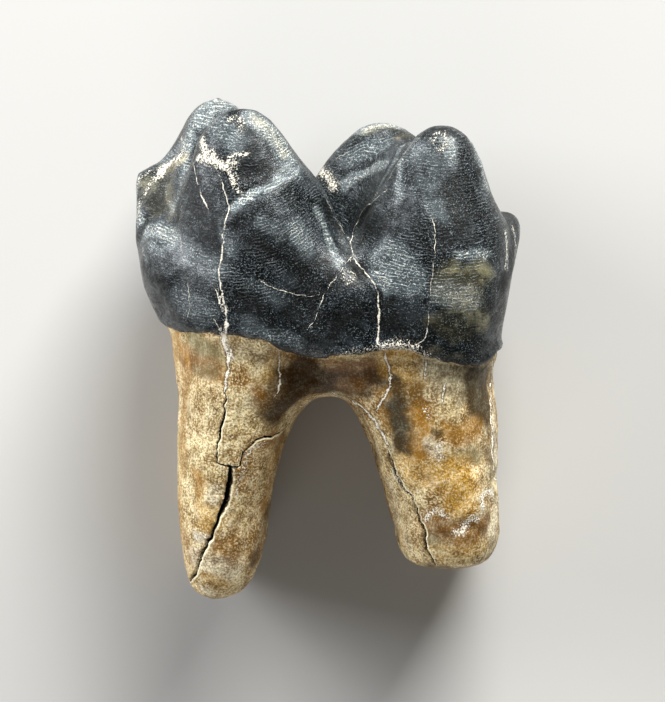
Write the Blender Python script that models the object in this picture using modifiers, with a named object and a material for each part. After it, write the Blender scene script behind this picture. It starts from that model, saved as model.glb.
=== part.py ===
"""Fossil tapir molar: two cross-ridges on a bulging crown, on two broad roots.

The tooth is one grown piece, and it is worked like clay. Rough balls stand for its pillars
and are joined in one skin, the skin is drawn onto a smooth blend of named forms, and the
tooth is laid down on its cheek side, where small flat spots carry it.

The forms are in millimetres and in the tooth's own frame:
  X  from the front of the tooth to its back
  Y  from the root tips to the cusps, with 0 near the lower edge of the enamel
  Z  from the cheek side to the tongue side, which faces up once the tooth lies down
"""

import math
from typing import NamedTuple

import bmesh
import bpy
import numpy as np
from mathutils import Matrix, Vector

MM = 0.001

# Driving dimensions, in millimetres
FRONT_TONGUE_CUSP_HEIGHT = 15.5
FRONT_CHEEK_CUSP_HEIGHT = 15.4
BACK_TONGUE_CUSP_HEIGHT = 14.45
BACK_CHEEK_CUSP_HEIGHT = 13.7
CREST_DIP = 1.4
CROWN_FLOOR_HEIGHT = 5.8
FRONT_SHELF_HEIGHT = 11.2
BACK_SHELF_HEIGHT = 8.6
TONGUE_BULGE_HEIGHT = 6.0
CROWN_FOOT = -0.8
FRONT_ROOT_LENGTH = 16.2
BACK_ROOT_LENGTH = 13.95
FORK_DEPTH = 2.7

# How it lies: the first lean of its axis, and how deep the surface it rests on cuts
LEAN_BACK = math.radians(8.0)
REST_CUT = 0.1
SETTLING_TURNS = 6
ROOT_TIP_ZONE = -8.0

# How fine it is: voxel, rounds of drawing on and rounds of smoothing for each skin
SKINS = ((0.8, 4, 8), (0.6, 3, 4), (0.45, 3, 3))
TRIANGLES = 8800

# Colours, roughness
ENAMEL = ("fossil_enamel", (0.030, 0.034, 0.040, 1.0), 0.25)
DENTINE = ("fossil_dentine", (0.36, 0.24, 0.12, 1.0), 0.75)


class Pillar(NamedTuple):
    """An upright form. Each section is its distance from the tip, its middle in X and in Z,
    its half length in X, and how many times wider than long it is."""

    tip: float
    sections: list
    downwards: bool = True
    corner: float = 2.4
    skew: float = 0.0
    blend: float = 1.0


CROWN_BODY = Pillar(
    CROWN_FLOOR_HEIGHT,
    [
        (0.0, 0.0, 0.0, 0.0, 0.86),
        (0.8, 0.0, 0.0, 7.8, 0.82),
        (2.3, 0.0, 0.0, 10.0, 0.76),
        (3.8, 0.05, 0.0, 10.4, 0.76),
        (5.3, 0.12, 0.0, 10.3, 0.77),
        (CROWN_FLOOR_HEIGHT - CROWN_FOOT, 0.12, 0.0, 10.1, 0.78),
    ],
    corner=2.8,
)
FRONT_SHELF = Pillar(
    FRONT_SHELF_HEIGHT,
    [
        (0.0, -10.0, -2.0, 0.0, 1.10),
        (0.3, -10.0, -2.0, 1.3, 1.10),
        (1.2, -9.5, -1.8, 2.3, 1.15),
        (3.2, -8.7, -1.0, 3.3, 1.30),
        (5.2, -8.0, -0.4, 4.1, 1.38),
        (7.2, -7.4, -0.1, 4.4, 1.44),
        (9.2, -6.4, 0.0, 4.45, 1.50),
        (FRONT_SHELF_HEIGHT - CROWN_FOOT, -5.2, 0.0, 4.5, 1.60),
    ],
    corner=2.6,
    blend=1.2,
)
BACK_SHELF = Pillar(
    BACK_SHELF_HEIGHT,
    [
        (0.0, 8.1, 0.0, 0.0, 1.40),
        (0.3, 8.0, 0.0, 2.2, 1.40),
        (1.0, 7.8, 0.0, 3.5, 1.42),
        (2.1, 7.5, 0.0, 4.2, 1.45),
        (4.1, 6.9, 0.0, 4.5, 1.50),
        (6.6, 6.0, 0.0, 4.5, 1.55),
        (BACK_SHELF_HEIGHT - CROWN_FOOT, 5.5, 0.0, 4.5, 1.60),
    ],
    corner=2.6,
    blend=1.2,
)
# The cross-ridges are thin at the crest, and run into the cusps at their two ends.
FRONT_RIDGE = Pillar(
    FRONT_TONGUE_CUSP_HEIGHT - CREST_DIP,
    [
        (0.0, -6.3, 0.0, 0.0, 4.2),
        (0.8, -6.3, 0.0, 1.2, 3.8),
        (2.1, -6.3, 0.0, 2.1, 2.5),
        (4.6, -6.1, 0.0, 3.5, 1.65),
        (7.6, -5.8, 0.0, 4.6, 1.38),
        (11.1, -5.4, 0.0, 5.0, 1.25),
    ],
    skew=0.17,
)
BACK_RIDGE = Pillar(
    BACK_TONGUE_CUSP_HEIGHT - CREST_DIP,
    [
        (0.0, 5.2, 0.0, 0.0, 4.2),
        (0.7, 5.2, 0.0, 1.2, 3.8),
        (1.8, 5.2, 0.0, 2.1, 2.5),
        (4.0, 5.2, 0.0, 3.3, 1.70),
        (6.5, 5.3, 0.0, 4.3, 1.45),
        (10.0, 5.4, 0.0, 4.6, 1.30),
    ],
    skew=0.34,
)
FRONT_TONGUE_CUSP = Pillar(
    FRONT_TONGUE_CUSP_HEIGHT,
    [
        (0.0, -5.4, 4.7, 0.0, 0.80),
        (0.3, -5.4, 4.7, 1.2, 0.80),
        (0.9, -5.4, 4.6, 1.9, 0.76),
        (1.9, -5.4, 4.5, 2.7, 0.76),
        (3.1, -5.2, 4.4, 3.3, 0.78),
        (4.8, -4.8, 4.1, 4.25, 0.80),
        (6.5, -4.6, 3.8, 4.9, 0.84),
        (8.8, -4.2, 3.6, 5.4, 0.88),
        (11.5, -4.3, 3.5, 5.6, 0.88),
        (FRONT_TONGUE_CUSP_HEIGHT - CROWN_FOOT, -4.4, 3.3, 5.6, 0.84),
    ],
    corner=2.1,
    blend=0.8,
)
FRONT_CHEEK_CUSP = Pillar(
    FRONT_CHEEK_CUSP_HEIGHT,
    [
        (0.0, -7.1, -4.6, 0.0, 0.80),
        (0.7, -7.1, -4.6, 1.4, 0.80),
        (2.4, -7.0, -4.3, 2.7, 0.78),
        (5.6, -6.6, -4.0, 4.3, 0.82),
        (8.9, -5.9, -3.6, 5.3, 0.88),
        (FRONT_CHEEK_CUSP_HEIGHT - CROWN_FOOT, -5.0, -3.3, 5.5, 0.84),
    ],
    corner=2.1,
    blend=0.8,
)
BACK_TONGUE_CUSP = Pillar(
    BACK_TONGUE_CUSP_HEIGHT,
    [
        (0.0, 6.9, 4.6, 0.0, 0.90),
        (0.45, 6.9, 4.6, 1.3, 0.90),
        (1.45, 6.9, 4.5, 2.1, 0.88),
        (2.45, 6.8, 4.4, 2.65, 0.86),
        (4.25, 6.5, 4.2, 3.5, 0.88),
        (6.45, 6.5, 3.9, 4.5, 0.90),
        (8.95, 6.3, 3.7, 4.9, 0.95),
        (12.45, 5.9, 3.5, 4.9, 0.97),
        (BACK_TONGUE_CUSP_HEIGHT - CROWN_FOOT, 5.6, 3.3, 4.8, 0.98),
    ],
    corner=2.1,
    blend=0.8,
)
BACK_CHEEK_CUSP = Pillar(
    BACK_CHEEK_CUSP_HEIGHT,
    [
        (0.0, 3.6, -4.6, 0.0, 0.80),
        (0.7, 3.6, -4.5, 1.9, 0.80),
        (2.1, 3.7, -4.3, 3.2, 0.76),
        (4.7, 4.1, -4.0, 4.6, 0.80),
        (7.2, 4.6, -3.7, 5.4, 0.86),
        (BACK_CHEEK_CUSP_HEIGHT - CROWN_FOOT, 4.9, -3.3, 5.3, 0.90),
    ],
    corner=2.1,
    blend=0.8,
)
# A low pillar on the tongue side, below the mouth of the valley
TONGUE_BULGE = Pillar(
    TONGUE_BULGE_HEIGHT,
    [
        (0.0, 1.1, 5.5, 0.0, 1.30),
        (0.8, 1.1, 5.7, 1.6, 1.20),
        (2.0, 0.9, 5.8, 2.3, 1.10),
        (4.0, 0.7, 5.8, 2.7, 1.03),
        (6.3, 0.6, 5.7, 2.5, 1.10),
    ],
    blend=3.0,
)
FRONT_ROOT = Pillar(
    -FRONT_ROOT_LENGTH,
    [
        (0.0, -7.3, -0.5, 0.0, 2.60),
        (1.0, -7.2, -0.5, 1.80, 2.50),
        (2.7, -7.0, -0.4, 2.40, 2.35),
        (6.2, -6.85, -0.2, 2.75, 2.25),
        (9.2, -6.45, -0.1, 3.15, 2.10),
        (12.5, -5.7, 0.0, 3.95, 1.75),
        (16.2, -5.0, 0.0, 4.9, 1.50),
        (20.2, -4.6, 0.0, 5.2, 1.40),
    ],
    downwards=False,
    blend=2.6,
)
BACK_ROOT = Pillar(
    -BACK_ROOT_LENGTH,
    [
        (0.0, 7.6, -0.4, 0.0, 2.50),
        (0.55, 7.6, -0.4, 2.4, 2.20),
        (1.65, 7.6, -0.3, 3.1, 1.95),
        (3.95, 7.3, -0.2, 3.5, 1.80),
        (6.95, 6.65, -0.1, 3.85, 1.75),
        (9.95, 5.95, 0.0, 4.4, 1.60),
        (13.95, 5.4, 0.0, 4.9, 1.50),
        (17.95, 5.0, 0.0, 5.2, 1.40),
    ],
    downwards=False,
    blend=2.6,
)
# What joins the two roots under the crown, above their fork
TRUNK = Pillar(
    -FORK_DEPTH,
    [
        (0.0, 0.0, 0.0, 0.0, 1.30),
        (1.1, 0.1, 0.0, 6.2, 0.86),
        (2.7, 0.2, 0.0, 8.8, 0.70),
        (5.7, 0.2, 0.0, 9.0, 0.72),
    ],
    downwards=False,
)

CROWN_PILLARS = (
    CROWN_BODY,
    FRONT_SHELF,
    BACK_SHELF,
    FRONT_RIDGE,
    BACK_RIDGE,
    FRONT_TONGUE_CUSP,
    FRONT_CHEEK_CUSP,
    BACK_TONGUE_CUSP,
    BACK_CHEEK_CUSP,
)

# The enamel's lower edge: place along the tooth, and height
ENAMEL_EDGE = [
    (-11.5, 1.7),
    (-10.0, 1.7),
    (-8.5, 1.9),
    (-6.0, 1.6),
    (-1.5, 0.5),
    (2.0, 0.5),
    (4.8, 0.8),
    (8.8, -0.3),
    (10.5, -0.3),
    (11.5, 0.1),
]
ENAMEL_LIP_ROUNDING = 0.8
ENAMEL_ON_ROOT = 0.9

# Ridges and furrows are bent bars: points on the line, each with the bar's radius there.
FRONT_CORNER = (-11.5, 10.3, -1.5, 0.65)
FRONT_SLOPING_RIDGE = [
    (-7.6, 14.3, -4.4, 0.9),
    (-8.9, 12.5, -3.6, 0.85),
    (-10.2, 11.1, -2.6, 0.8),
    FRONT_CORNER,
]
FRONT_RIM = [
    FRONT_CORNER,
    (-11.6, 9.2, -0.7, 0.6),
    (-11.6, 8.0, 0.2, 0.6),
    (-11.5, 7.2, 1.2, 0.6),
]
FRONT_RIB = [
    (-8.0, 14.0, -3.0, 1.0),
    (-8.6, 11.6, 0.0, 1.2),
    (-8.9, 8.6, 3.2, 1.2),
    (-9.0, 6.0, 4.6, 1.0),
]
FRONT_KNOB = [(-10.0, 6.5, 3.5, 1.5), (-9.4, 5.4, 4.5, 1.4)]
BACK_RIM = [
    (9.6, 6.9, 4.2, 0.8),
    (10.9, 7.4, 1.8, 0.8),
    (11.1, 7.6, -1.6, 0.8),
    (9.6, 6.9, -4.4, 0.8),
]
CREST_RIDGES = (FRONT_SLOPING_RIDGE, FRONT_RIM, FRONT_RIB, FRONT_KNOB, BACK_RIM)
CREST_BLEND = 1.5

OBLIQUE_RIDGE = [(2.8, 12.6, -4.6, 1.0), (0.2, 10.5, -3.8, 0.9), (-1.6, 7.8, -3.0, 0.8)]
VALLEY_FLOOR = [
    (1.3, 5.0, 6.4, 1.4),
    (0.2, 4.2, 1.5, 1.7),
    (-0.8, 4.2, -2.5, 1.8),
    (-1.6, 4.8, -6.4, 1.4),
]
VALLEY_RIDGES = (OBLIQUE_RIDGE, VALLEY_FLOOR)
VALLEY_BLEND = 2.2

FRONT_HOLLOW = [(-10.8, 9.7, 3.2, 1.3), (-10.6, 8.8, 4.3, 1.4)]
TONGUE_FURROW = [
    (1.5, 6.8, 8.5, 0.7),
    (2.9, 4.6, 9.0, 0.6),
    (3.0, 2.4, 9.1, 0.5),
    (3.1, 0.6, 9.0, 0.3),
]
CHEEK_FURROW = [(-1.4, 6.0, -8.6, 0.9), (-1.0, 4.0, -9.0, 0.7), (-0.8, 2.0, -9.0, 0.5)]
CROWN_FURROWS = (FRONT_HOLLOW, TONGUE_FURROW, CHEEK_FURROW)
FURROW_BLEND = 0.8

# Shallow flutes down the broad faces of the roots
ROOT_FLUTES = (
    [(-1.0, -5.0, -0.3, 1.6), (-2.4, -9.0, -0.4, 1.5), (-3.2, -13.0, -0.5, 1.2)],
    [(-11.2, -3.0, 0.0, 1.8), (-11.1, -8.0, -0.2, 1.8), (-10.6, -13.5, -0.5, 1.5)],
    [(0.8, -5.0, -0.3, 1.6), (2.2, -9.0, -0.4, 1.6), (3.0, -12.5, -0.5, 1.2)],
    [(11.9, -3.0, 0.0, 1.8), (12.2, -8.0, -0.2, 1.8), (12.0, -12.5, -0.5, 1.5)],
)
FLUTE_BLEND = 1.5


def follow(at, knots, values):
    """The values along a smooth curve through the knots, and the curve's slope."""
    slopes = np.gradient(values, knots)
    inside = np.clip(at, knots[0], knots[-1])
    cell = np.clip(np.searchsorted(knots, inside) - 1, 0, len(knots) - 2)
    span = knots[cell + 1] - knots[cell]
    t = (inside - knots[cell]) / span
    low, high = values[cell], values[cell + 1]
    rise_low, rise_high = slopes[cell] * span, slopes[cell + 1] * span
    bend = 2 * (low - high) + rise_low + rise_high
    turn = 3 * (high - low) - 2 * rise_low - rise_high
    value = ((bend * t + turn) * t + rise_low) * t + low
    slope = ((3 * bend * t + 2 * turn) * t + rise_low) / span
    return value + slope * (at - inside), slope


def sections_by_height(pillar):
    """The pillar's sections from the lowest up, with their heights in the first column."""
    table = np.array(pillar.sections, float)
    way = -1 if pillar.downwards else 1
    table[:, 0] = pillar.tip + way * table[:, 0]
    return table[table[:, 0].argsort()]


def distance_to_pillar(points, pillar):
    """Signed distance to the pillar, near its surface; negative inside."""
    heights, middles_x, middles_z, halves, widths = sections_by_height(pillar).T
    x, y, z = points.T
    level = np.clip(y, heights[0], heights[-1])
    middle_x = follow(level, heights, middles_x)[0] + pillar.skew * z
    middle_z = follow(level, heights, middles_z)[0]
    wide = follow(level, heights, widths)[0]
    # The square of the half length is what runs smoothly to 0, which rounds the tip.
    size, slope = follow(y, heights, halves**2)
    along = np.abs(x - middle_x)
    across = np.abs(z - middle_z) / wide
    reach = (along**pillar.corner + across**pillar.corner) ** (2 / pillar.corner)
    steepness = np.sqrt(4 * (along**2 + (across / wide) ** 2) + slope**2 + 1e-6)
    side = (reach - size) / steepness
    return np.maximum(side, np.maximum(heights[0] - y, y - heights[-1]))


def smooth_path(path, steps=4):
    """Points close together on a smooth curve through the path's points."""
    table = np.array(path, float)
    knots = np.arange(len(table), dtype=float)
    at = np.linspace(0, len(table) - 1, (len(table) - 1) * steps + 1)
    return np.stack([follow(at, knots, column)[0] for column in table.T], axis=1)


def distance_to_bar(points, path):
    """Signed distance to a bent round bar whose radius changes along it."""
    nearest = np.full(len(points), np.inf)
    line = smooth_path(path)
    for start, end in zip(line[:-1], line[1:]):
        step = end[:3] - start[:3]
        t = np.clip((points - start[:3]) @ step / (step @ step), 0, 1)
        gap = np.linalg.norm(points - start[:3] - t[:, None] * step, axis=1)
        nearest = np.minimum(nearest, gap - start[3] - t * (end[3] - start[3]))
    return nearest


def joined(first, second, blend):
    """Both forms, with a fillet about as wide as the blend between them."""
    overlap = np.maximum(blend - np.abs(first - second), 0) / blend
    return np.minimum(first, second) - overlap**3 * blend / 6


def carved(form, tool, blend):
    """The form with the tool's shape taken out of it, with rounded edges."""
    return -joined(-form, tool, blend)


def height_over_enamel_edge(points):
    places, heights = np.array(ENAMEL_EDGE).T
    return points[:, 1] - follow(points[:, 0], places, heights)[0]


def distance_to_crown(points):
    first, *others = CROWN_PILLARS
    crown = distance_to_pillar(points, first)
    for pillar in others:
        crown = joined(crown, distance_to_pillar(points, pillar), pillar.blend)
    for ridges, blend in ((CREST_RIDGES, CREST_BLEND), (VALLEY_RIDGES, VALLEY_BLEND)):
        for ridge in ridges:
            crown = joined(crown, distance_to_bar(points, ridge), blend)
    crown = joined(crown, distance_to_pillar(points, TONGUE_BULGE), TONGUE_BULGE.blend)
    for furrow in CROWN_FURROWS:
        crown = carved(crown, distance_to_bar(points, furrow), FURROW_BLEND)
    return carved(crown, height_over_enamel_edge(points), ENAMEL_LIP_ROUNDING)


def distance_to_roots(points):
    roots = distance_to_pillar(points, TRUNK)
    for root in (FRONT_ROOT, BACK_ROOT):
        roots = joined(roots, distance_to_pillar(points, root), root.blend)
    for flute in ROOT_FLUTES:
        roots = carved(roots, distance_to_bar(points, flute), FLUTE_BLEND)
    return roots


def distance_to_tooth(points):
    return joined(distance_to_crown(points), distance_to_roots(points), ENAMEL_ON_ROOT)


def drawn_onto_tooth(points, rounds, probe=0.01, longest_step=0.5, least_slope=0.1):
    """The points moved down or up the slope of the distance until they lie on the tooth."""
    for _ in range(rounds):
        distance = distance_to_tooth(points)
        moves = np.eye(3) * probe
        slopes = [(distance_to_tooth(points + move) - distance) / probe for move in moves]
        gradient = np.stack(slopes, axis=1)
        steep = np.maximum((gradient**2).sum(axis=1), least_slope)
        step = np.clip(distance / steep, -longest_step, longest_step)
        points = points - gradient * step[:, None]
    return points


def neighbour_mean(mesh, points):
    """For each vertex, the mean of the vertices that an edge joins to it."""
    ends = np.empty(len(mesh.edges) * 2, np.int32)
    mesh.edges.foreach_get("vertices", ends)
    first, second = ends.reshape(-1, 2).T
    total = np.zeros_like(points)
    count = np.zeros(len(points))
    for here, there in ((first, second), (second, first)):
        np.add.at(total, here, points[there])
        np.add.at(count, here, 1)
    return total / count[:, None]


def vertices_of(mesh):
    points = np.empty(len(mesh.vertices) * 3)
    mesh.vertices.foreach_get("co", points)
    return points.reshape(-1, 3)


def move_vertices(mesh, points):
    mesh.vertices.foreach_set("co", np.ascontiguousarray(points, np.float32).ravel())
    mesh.update()


def new_object(name, shape, collection):
    mesh = bpy.data.meshes.new(name)
    shape.to_mesh(mesh)
    shape.free()
    piece = bpy.data.objects.new(name, mesh)
    collection.objects.link(piece)
    return piece


def add_rough_pillar(shape, pillar, segments=24, rings=16, end_rounding=4):
    """Adds a ball to the shape and stretches it to the pillar's outline."""
    ball = bmesh.ops.create_uvsphere(shape, u_segments=segments, v_segments=rings, radius=1.0)
    table = sections_by_height(pillar)
    low, high = table[0, 0], table[-1, 0]
    for vertex in ball["verts"]:
        turn = math.atan2(vertex.co.y, vertex.co.x)
        height = low + (high - low) * (vertex.co.z + 1) / 2
        middle_x, middle_z, half, wide = (
            float(np.interp(height, table[:, 0], column)) for column in table.T[1:]
        )
        half *= min(1.0, end_rounding * math.hypot(vertex.co.x, vertex.co.y))
        z = middle_z + half * wide * math.sin(turn)
        vertex.co = Vector((middle_x + half * math.cos(turn) + pillar.skew * z, height, z))


def rough_tooth(collection):
    """All the pillars as overlapping balls, which the first skin then joins."""
    shape = bmesh.new()
    for pillar in CROWN_PILLARS + (TRUNK, FRONT_ROOT, BACK_ROOT):
        add_rough_pillar(shape, pillar)
    bmesh.ops.recalc_face_normals(shape, faces=shape.faces)
    return new_object("tooth", shape, collection)


def skin_over(piece, voxel):
    """Gives the piece one closed skin of even faces."""
    skin = piece.modifiers.new("Skin", "REMESH")
    skin.mode = "VOXEL"
    skin.voxel_size = voxel
    graph = bpy.context.evaluated_depsgraph_get()
    mesh = bpy.data.meshes.new_from_object(piece.evaluated_get(graph))
    piece.modifiers.remove(skin)
    piece.data = mesh


def shaped_tooth(collection):
    """The whole tooth upright in millimetres, in finer and finer skins."""
    tooth = rough_tooth(collection)
    for voxel, rounds, smoothings in SKINS:
        skin_over(tooth, voxel)
        points = drawn_onto_tooth(vertices_of(tooth.data), rounds)
        for _ in range(smoothings):
            points = drawn_onto_tooth(neighbour_mean(tooth.data, points), 1)
        points = drawn_onto_tooth(points, 2)
        move_vertices(tooth.data, points)
    return tooth


def new_material(name, colour, roughness):
    material = bpy.data.materials.new(name)
    material.use_nodes = True
    shader = material.node_tree.nodes["Principled BSDF"]
    shader.inputs["Base Color"].default_value = colour
    shader.inputs["Roughness"].default_value = roughness
    shader.inputs["Metallic"].default_value = 0.0
    material.diffuse_color = colour
    return material


def colour_crown_and_roots(tooth):
    """Dark enamel above its edge, tan dentine below."""
    for finish in (ENAMEL, DENTINE):
        tooth.data.materials.append(new_material(*finish))
    centres = np.array([face.center for face in tooth.data.polygons])
    below = (height_over_enamel_edge(centres) < 0).astype(np.int32)
    tooth.data.polygons.foreach_set("material_index", below)


def laid_down(points):
    """The points turned so that the four lowest places of the cheek side are level.

    The places are the two bulges of the crown and the tips of the two roots.
    """
    points = points @ np.array(Matrix.Rotation(LEAN_BACK, 3, "X")).T
    for _ in range(SETTLING_TURNS):
        front = points[:, 0] < 0
        crown = points[:, 1] > 0
        tips = points[:, 1] < ROOT_TIP_ZONE
        places = [front & crown, ~front & crown, front & tips, ~front & tips]
        lows = np.array([points[place][points[place, 2].argmin()] for place in places])
        level = np.c_[lows[:, :2], np.ones(len(lows))]
        plane = np.linalg.lstsq(level, lows[:, 2], rcond=None)[0]
        up = Vector((-plane[0], -plane[1], 1.0)).normalized()
        points = points @ np.array(up.rotation_difference(Vector((0, 0, 1))).to_matrix()).T
    low, high = points.min(axis=0), points.max(axis=0)
    rest_height = lows[:, 2].max() + REST_CUT
    return points - np.array([(low[0] + high[0]) / 2, (low[1] + high[1]) / 2, rest_height])


def rest_cutter(collection, side=60 * MM, depth=10 * MM):
    """A slab whose top is the surface that the tooth lies on."""
    shape = bmesh.new()
    bmesh.ops.create_cube(shape, size=1.0)
    bmesh.ops.scale(shape, vec=(side, side, depth), verts=shape.verts)
    bmesh.ops.translate(shape, vec=(0, 0, -depth / 2), verts=shape.verts)
    cutter = new_object("rest_surface", shape, collection)
    cutter.hide_render = True
    cutter.display_type = "WIRE"
    return cutter


def main():
    for leftover in list(bpy.data.objects):
        bpy.data.objects.remove(leftover)
    parts = bpy.data.collections.new("fossil_tapir_tooth")
    cutters = bpy.data.collections.new("cutters")
    for collection in (parts, cutters):
        bpy.context.scene.collection.children.link(collection)
    tooth = shaped_tooth(parts)
    colour_crown_and_roots(tooth)
    move_vertices(tooth.data, laid_down(vertices_of(tooth.data)) * MM)
    tooth.data.shade_smooth()
    fewer = tooth.modifiers.new("Fewer_faces", "DECIMATE")
    fewer.ratio = TRIANGLES / (2 * len(tooth.data.polygons))
    flats = tooth.modifiers.new("Rest_flats", "BOOLEAN")
    flats.operation = "DIFFERENCE"
    flats.object = rest_cutter(cutters)


main()
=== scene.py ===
# %% [markdown]
# # A fossil tapir molar
#
# The object is one lower molar of a tapir, turned to stone: a dark glossy enamel crown with two
# cross-ridges, on two broad tan roots. It lies on its cheek side, so the camera looks down on
# the side that faced the tongue.
#
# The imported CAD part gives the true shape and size. This script lays a much finer skin over
# that shape, cuts the details of the real tooth into the skin, and gives it materials.

import math

import bmesh
import bpy
import numpy as np
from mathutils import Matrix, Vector, noise
from mathutils.bvhtree import BVHTree


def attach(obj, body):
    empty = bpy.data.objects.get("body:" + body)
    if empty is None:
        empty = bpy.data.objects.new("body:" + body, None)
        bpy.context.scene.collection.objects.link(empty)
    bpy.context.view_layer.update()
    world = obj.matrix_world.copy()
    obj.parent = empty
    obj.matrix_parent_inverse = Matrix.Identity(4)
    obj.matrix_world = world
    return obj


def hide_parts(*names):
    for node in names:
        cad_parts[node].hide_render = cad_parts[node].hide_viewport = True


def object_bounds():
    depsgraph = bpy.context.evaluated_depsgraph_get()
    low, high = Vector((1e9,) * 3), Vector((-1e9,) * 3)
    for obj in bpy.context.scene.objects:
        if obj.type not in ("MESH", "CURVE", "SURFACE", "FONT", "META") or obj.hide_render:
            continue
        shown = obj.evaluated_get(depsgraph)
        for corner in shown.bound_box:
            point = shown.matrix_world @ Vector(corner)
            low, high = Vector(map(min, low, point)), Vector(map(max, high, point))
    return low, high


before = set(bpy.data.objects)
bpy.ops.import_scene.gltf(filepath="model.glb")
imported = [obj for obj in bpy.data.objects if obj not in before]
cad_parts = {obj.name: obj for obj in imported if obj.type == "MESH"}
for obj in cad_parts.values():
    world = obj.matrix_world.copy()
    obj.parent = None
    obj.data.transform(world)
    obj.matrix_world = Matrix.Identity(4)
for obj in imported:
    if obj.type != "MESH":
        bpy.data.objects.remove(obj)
cad_low, cad_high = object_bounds()
MM = 0.001
print("CAD box in mm:", [round(side / MM, 2) for side in cad_high - cad_low])

# %% [markdown]
# ## Camera
#
# The photo was taken from straight above, from about the distance of a hand-held phone, so
# there is a little perspective. One pixel of the photo covers PIXEL at the tooth's mid-height,
# and the lens follows from that and from the camera's height.

# %% Camera
PHOTO_WIDTH = 665
PHOTO_HEIGHT = 702
PIXEL = 0.0633 * MM
CAMERA_HEIGHT = 220 * MM
SENSOR = 36.0
OFF_CENTRE = (5, -4)  # pixels from the tooth's middle to the photo's middle

mid_height = cad_high.z / 2
camera = bpy.data.objects.new("camera", bpy.data.cameras.new("camera"))
across, up = OFF_CENTRE
camera.location = (across * PIXEL, up * PIXEL, mid_height + CAMERA_HEIGHT)
camera.data.sensor_width = SENSOR
camera.data.lens = SENSOR * CAMERA_HEIGHT / (PHOTO_HEIGHT * PIXEL)
camera.data.clip_start = 10 * MM
bpy.context.scene.collection.objects.link(camera)
bpy.context.scene.camera = camera
print("lens in mm:", round(camera.data.lens, 1))

# %% [markdown]
# ## Colours and nodes
#
# Colours are written as the hex values a painter would pick on a screen. Shaders reckon in
# linear light, so one function converts them. One more function adds a node with its settings
# and its links, which keeps the materials short to read. Most patterns are noise, whose values
# hover round 0.5. A MapRange node with a ramp such as 0.42 to 0.58 turns it into patches, and
# the closer the two numbers are, the crisper their edges. It gives 0 at the first number and 1
# at the second, unless two more numbers say otherwise.

# %% Helpers for materials


def linear(hex_colour):
    """A screen colour such as "#8a7a5c" as linear red, green, blue and alpha."""
    parts = [int(hex_colour[i : i + 2], 16) / 255 for i in (1, 3, 5)]
    return [c / 12.92 if c < 0.04045 else ((c + 0.055) / 1.055) ** 2.4 for c in parts] + [1.0]


def new_material(name):
    material = bpy.data.materials.new(name)
    material.use_nodes = True
    return material


def connect(owner, node, inputs):
    """Gives a node its inputs, as a list in their order or a dictionary by name.

    Each is a plain value, an output of another node, or a node, for its first output."""
    open_sockets = [socket for socket in node.inputs if socket.enabled]
    named = inputs.items() if isinstance(inputs, dict) else enumerate(inputs)
    for key, value in named:
        socket = open_sockets[key] if isinstance(key, int) else node.inputs[key]
        if isinstance(value, bpy.types.Node):
            value = next(output for output in value.outputs if output.enabled)
        if isinstance(value, bpy.types.NodeSocket):
            owner.node_tree.links.new(value, socket)
        else:
            socket.default_value = value


def add(owner, kind, inputs=(), **settings):
    """Adds a node with its settings and its inputs."""
    node = owner.node_tree.nodes.new("ShaderNode" + kind)
    for key, value in settings.items():
        setattr(node, key, value)
    connect(owner, node, inputs)
    return node


# %% [markdown]
# ## Floor and lights
#
# In the photo a large soft light stands low at the top of the picture, beyond the cusps. It
# glances off every slope that faces the cusps, and leaves the gap between the roots in shade.
# Three soft boxes take its place: a strong one at the top right, a cool one at the left, and a
# weak warm one at the foot, for what a room reflects. There is none overhead, because it would
# grey the dark enamel that faces the camera.
#
# The floor is matt card. Its paper fibres scatter light evenly, so it shows soft shade and
# hardly any sheen.

# %% Floor
FLOOR_RADIUS = 0.8
bpy.ops.mesh.primitive_circle_add(vertices=96, radius=FLOOR_RADIUS, fill_type="NGON")
floor = bpy.context.object
floor.name = "floor"
card = new_material("pale_card")
finish = {"Base Color": linear("#b9b8b5"), "Roughness": 0.9, "Specular IOR Level": 0.2}
connect(card, card.node_tree.nodes["Principled BSDF"], finish)
floor.data.materials.append(card)

# %% Lights
SOFT_BOXES = [
    # name, place in mm, side in mm, power in watts, colour
    ("far_box", (110, 330, 190), 230, 4.5, "#fdfdfb"),
    ("left_box", (-320, 120, 120), 190, 1.65, "#f8faff"),
    ("low_box", (-90, -330, 130), 260, 0.5, "#fffaf4"),
]
for name, place, side, power, colour in SOFT_BOXES:
    lamp = bpy.data.lights.new(name, "AREA")
    lamp.size = side * MM
    lamp.energy = power
    lamp.color = linear(colour)[:3]
    box = bpy.data.objects.new(name, lamp)
    box.location = Vector(place) * MM
    aim = Vector((0, 0, mid_height)) - box.location
    box.rotation_euler = aim.to_track_quat("-Z", "Y").to_euler()
    bpy.context.scene.collection.objects.link(box)

world = bpy.data.worlds.new("room")
world.use_nodes = True
room_light = {"Color": linear("#e6e8ea"), "Strength": 0.1}
connect(world, world.node_tree.nodes["Background"], room_light)
bpy.context.scene.world = world
bpy.context.scene.view_settings.view_transform = "Standard"
print("soft boxes:", len(SOFT_BOXES))

# %% [markdown]
# ## A finer skin over the CAD shape
#
# The CAD part is cut into large triangles that are right for physics but coarse for the eye.
# A voxel remesh covers it with small even squares, smoothing irons out the old triangles, and
# one round of subdivision halves the squares again. It could also be sculpted by hand, but
# then each change to the part would mean doing it again.

# %% Mesh helpers
PULL = 0.5
PUSH = 0.52


def read(mesh, what):
    """The vertices' places ("co"), in metres, or their normals ("normal"), one row each."""
    values = np.empty(len(mesh.vertices) * 3, np.float32)
    mesh.vertices.foreach_get(what, values)
    return values.reshape(-1, 3).astype(float)


def write_points(mesh, points):
    """Moves the vertices to the points, which are in millimetres."""
    mesh.vertices.foreach_set("co", np.ascontiguousarray(points * MM, np.float32).ravel())
    mesh.update()


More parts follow.
